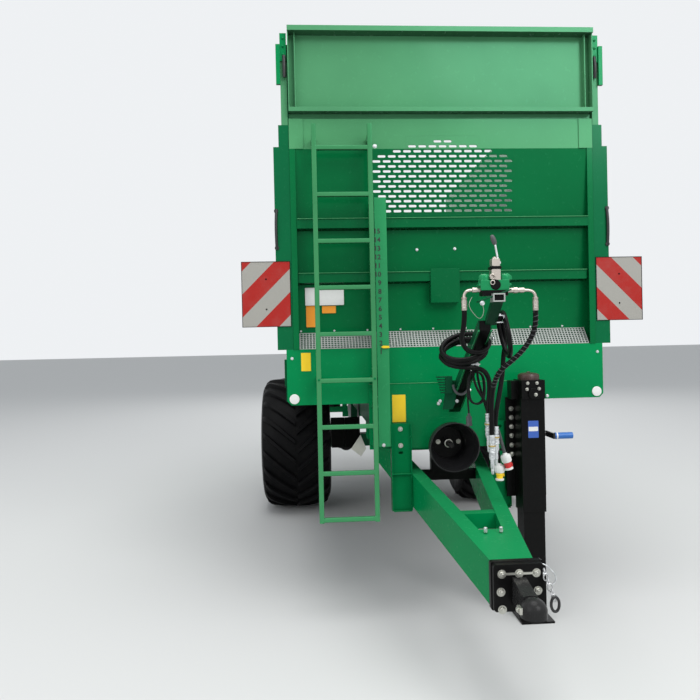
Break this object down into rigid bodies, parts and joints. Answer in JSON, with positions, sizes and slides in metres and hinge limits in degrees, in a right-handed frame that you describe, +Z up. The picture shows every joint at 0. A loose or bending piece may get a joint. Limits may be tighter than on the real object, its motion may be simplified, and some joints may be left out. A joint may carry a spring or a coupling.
{
  "type": "manure spreader",
  "caption": "Towed manure spreader with a high ribbed body, view grille, ladder, jack, scraper floor, slide gate, horizontal beaters, spreading discs and a rear hood.",
  "frame": {"origin": "on the ground under the middle of the machine's overall box", "axes": "+X to the right as seen from the drawbar end, +Y rearward to the spreading gear, +Z up"},
  "size_m": [2.691, 7.544, 3.642],
  "materials": {
    "green_paint": "gloss",
    "black_paint": "satin",
    "bare_steel": "satin",
    "crank_paint": "gloss",
    "black_plastic": "matte",
    "striped_board": "satin",
    "rim_paint": "satin",
    "tyre": "matte",
    "hose_rubber": "satin",
    "lamp_plastic": "gloss"
  },
  "bodies": {
    "spreader": {"chassis_rails": "green_paint", "outriggers": "green_paint", "drawbar": "green_paint", "hitch_plate": "black_paint", "ball_coupling": "black_paint", "jack_plate": "black_paint", "beam_consoles": "green_paint", "jack_housing": "black_paint", "jack_crank": "crank_paint", "front_cross_member": "green_paint", "lower_front_plate": "green_paint", "pto_bearing": "black_paint", "pto_shield": "black_plastic", "front_wall": "green_paint", "view_grille": "green_paint", "front_posts": "green_paint", "front_ribs": "green_paint", "front_extension": "green_paint", "perforated_strip": "bare_steel", "ladder": "green_paint", "level_scale": "green_paint", "warning_boards": "striped_board", "left_side_wall": "green_paint", "right_side_wall": "green_paint", "left_side_board": "green_paint", "right_side_board": "green_paint", "board_latches": "green_paint", "floor_plate": "green_paint", "scraper_floor": "bare_steel", "floor_shafts": "black_paint", "axle": "green_paint", "brakes": "black_paint", "wheel_chocks": "bare_steel", "gate_cylinders": "green_paint", "rear_frame": "green_paint", "spreader_deck": "green_paint", "spreader_gearbox": "black_paint", "beater_drive": "green_paint", "hose_holder": "green_paint", "control_valve": "green_paint", "valve_hoses": "hose_rubber", "hose_coils": "hose_rubber", "supply_hoses": "hose_rubber", "hose_couplings": "bare_steel"},
    "left_wheel": {"left_rim": "rim_paint", "left_tyre": "tyre"},
    "right_wheel": {"right_rim": "rim_paint", "right_tyre": "tyre"},
    "jack_leg": {"jack_leg": "black_paint"},
    "slide_gate": {"slide_gate": "green_paint", "gate_rods": "bare_steel"},
    "rear_hood": {"rear_hood": "green_paint", "rear_lamps": "lamp_plastic"},
    "hood_barrels": {"hood_barrels": "black_paint"},
    "hood_rods": {"hood_rods": "bare_steel"},
    "lower_beater": {"lower_beater": "green_paint"},
    "upper_beater": {"upper_beater": "green_paint"},
    "drive_shaft": {"drive_shaft": "bare_steel"},
    "left_disc": {"left_disc": "bare_steel"},
    "right_disc": {"right_disc": "bare_steel"}
  },
  "joints": [
    {"name": "left_wheel_spin", "type": "hinge", "parent": "spreader", "child": "left_wheel", "pos_m": [-1.003, 0.852, 0.6725], "axis": [1, 0, 0], "continuous": true},
    {"name": "right_wheel_spin", "type": "hinge", "parent": "spreader", "child": "right_wheel", "pos_m": [1.003, 0.852, 0.6725], "axis": [1, 0, 0], "continuous": true},
    {"name": "jack_slide", "type": "slide", "parent": "spreader", "child": "jack_leg", "axis": [0, 0, 1], "range_m": [0, 0.4]},
    {"name": "gate_slide", "type": "slide", "parent": "spreader", "child": "slide_gate", "axis": [0, 0, 1], "range_m": [0, 1.15]},
    {"name": "hood_hinge", "type": "hinge", "parent": "spreader", "child": "rear_hood", "pos_m": [0, 3.232, 2.99], "axis": [1, 0, 0], "range_deg": [0, 80]},
    {"name": "hood_barrel_swing", "type": "hinge", "parent": "spreader", "child": "hood_barrels", "pos_m": [0, 2.517, 2.74], "axis": [1, 0, 0], "range_deg": [0, 15]},
    {"name": "hood_rod_slide", "type": "slide", "parent": "hood_barrels", "child": "hood_rods", "axis": [0, 0.998, 0.0628], "range_m": [0, 0.18]},
    {"name": "lower_beater_spin", "type": "hinge", "parent": "spreader", "child": "lower_beater", "pos_m": [0, 2.892, 1.83], "axis": [1, 0, 0], "continuous": true},
    {"name": "upper_beater_spin", "type": "hinge", "parent": "spreader", "child": "upper_beater", "pos_m": [0, 2.892, 2.57], "axis": [1, 0, 0], "continuous": true},
    {"name": "pto_spin", "type": "hinge", "parent": "spreader", "child": "drive_shaft", "pos_m": [0, -2.183, 1.052], "axis": [0, 1, 0], "continuous": true},
    {"name": "left_disc_spin", "type": "hinge", "parent": "spreader", "child": "left_disc", "pos_m": [-0.52, 3.162, 0.93], "axis": [0, 0, 1], "continuous": true},
    {"name": "right_disc_spin", "type": "hinge", "parent": "spreader", "child": "right_disc", "pos_m": [0.52, 3.162, 0.93], "axis": [0, 0, 1], "continuous": true}
  ],
  "couplings": [
    {"joint": "upper_beater_spin", "follows": "lower_beater_spin", "ratio": 1},
    {"joint": "pto_spin", "follows": "lower_beater_spin", "ratio": 2.857},
    {"joint": "left_disc_spin", "follows": "lower_beater_spin", "ratio": 1.43},
    {"joint": "right_disc_spin", "follows": "lower_beater_spin", "ratio": -1.43},
    {"joint": "hood_barrel_swing", "follows": "hood_hinge", "ratio": 0.175},
    {"joint": "hood_rod_slide", "follows": "hood_hinge", "m_per_rad": 0.1253}
  ]
}
